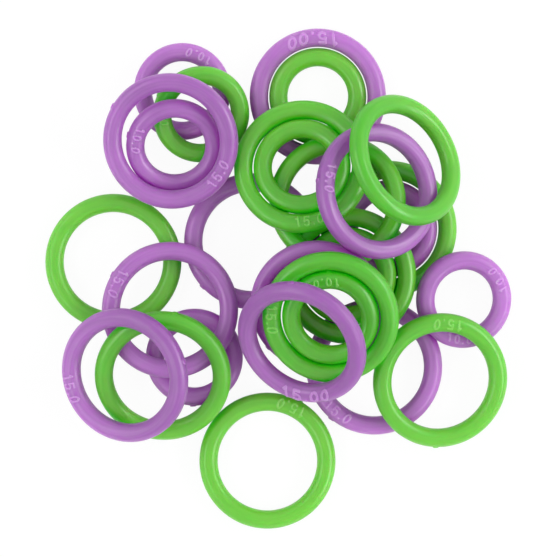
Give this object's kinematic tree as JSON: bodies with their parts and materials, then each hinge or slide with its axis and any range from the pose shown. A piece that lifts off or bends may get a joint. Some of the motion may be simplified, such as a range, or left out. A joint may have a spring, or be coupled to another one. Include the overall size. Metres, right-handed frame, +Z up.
{
  "type": "ring stitch marker set",
  "caption": "Loose pile of closed plastic stitch marker rings, large and small, purple and green, some small rings seated in large ones, that slip over a knitting needle to mark a stitch.",
  "frame": {"origin": "centre of the pile's box, on the table", "axes": "+Z up from the table, +X to the right and +Y away as seen from the top, as the picture shows the pile"},
  "size_m": [0.0828, 0.089, 0.0223],
  "materials": {
    "purple_plastic": "satin, slightly translucent",
    "green_plastic": "satin, slightly translucent"
  },
  "bodies": {
    "pile": {"small_purple_1": "purple_plastic", "large_purple_1": "purple_plastic", "small_green_1": "green_plastic", "large_green_1": "green_plastic", "large_purple_2": "purple_plastic", "large_purple_3": "purple_plastic", "large_green_3": "green_plastic", "small_purple_2": "purple_plastic", "small_purple_3": "purple_plastic", "small_purple_4": "purple_plastic", "small_green_2": "green_plastic", "large_purple_4": "purple_plastic", "large_green_4": "green_plastic", "small_green_3": "green_plastic", "large_green_5": "green_plastic", "small_purple_5": "purple_plastic", "large_green_6": "green_plastic", "small_green_4": "green_plastic", "large_green_7": "green_plastic", "large_green_8": "green_plastic", "large_purple_6": "purple_plastic", "large_green_9": "green_plastic", "small_green_5": "green_plastic"},
    "ring_large_green_2": {"large_green_2": "green_plastic"},
    "ring_large_purple_5": {"large_purple_5": "purple_plastic"},
    "ring_large_purple_7": {"large_purple_7": "purple_plastic"},
    "ring_large_purple_8": {"large_purple_8": "purple_plastic"},
    "ring_large_purple_9": {"large_purple_9": "purple_plastic"},
    "ring_large_green_10": {"large_green_10": "green_plastic"}
  },
  "joints": [
    {"name": "lift_large_green_2", "type": "slide", "parent": "pile", "child": "ring_large_green_2", "axis": [0, -0.2588, 0.9659], "range_m": [0, 0.03]},
    {"name": "lift_large_purple_5", "type": "slide", "parent": "pile", "child": "ring_large_purple_5", "axis": [0, 0, 1], "range_m": [0, 0.03]},
    {"name": "lift_large_purple_7", "type": "slide", "parent": "pile", "child": "ring_large_purple_7", "axis": [0, 0, 1], "range_m": [0, 0.03]},
    {"name": "lift_large_purple_8", "type": "slide", "parent": "pile", "child": "ring_large_purple_8", "axis": [0, 0, 1], "range_m": [0, 0.03]},
    {"name": "lift_large_purple_9", "type": "slide", "parent": "pile", "child": "ring_large_purple_9", "axis": [0, 0, 1], "range_m": [0, 0.03]},
    {"name": "lift_large_green_10", "type": "slide", "parent": "ring_large_purple_9", "child": "ring_large_green_10", "axis": [0, 0, 1], "range_m": [0, 0.03]}
  ]
}
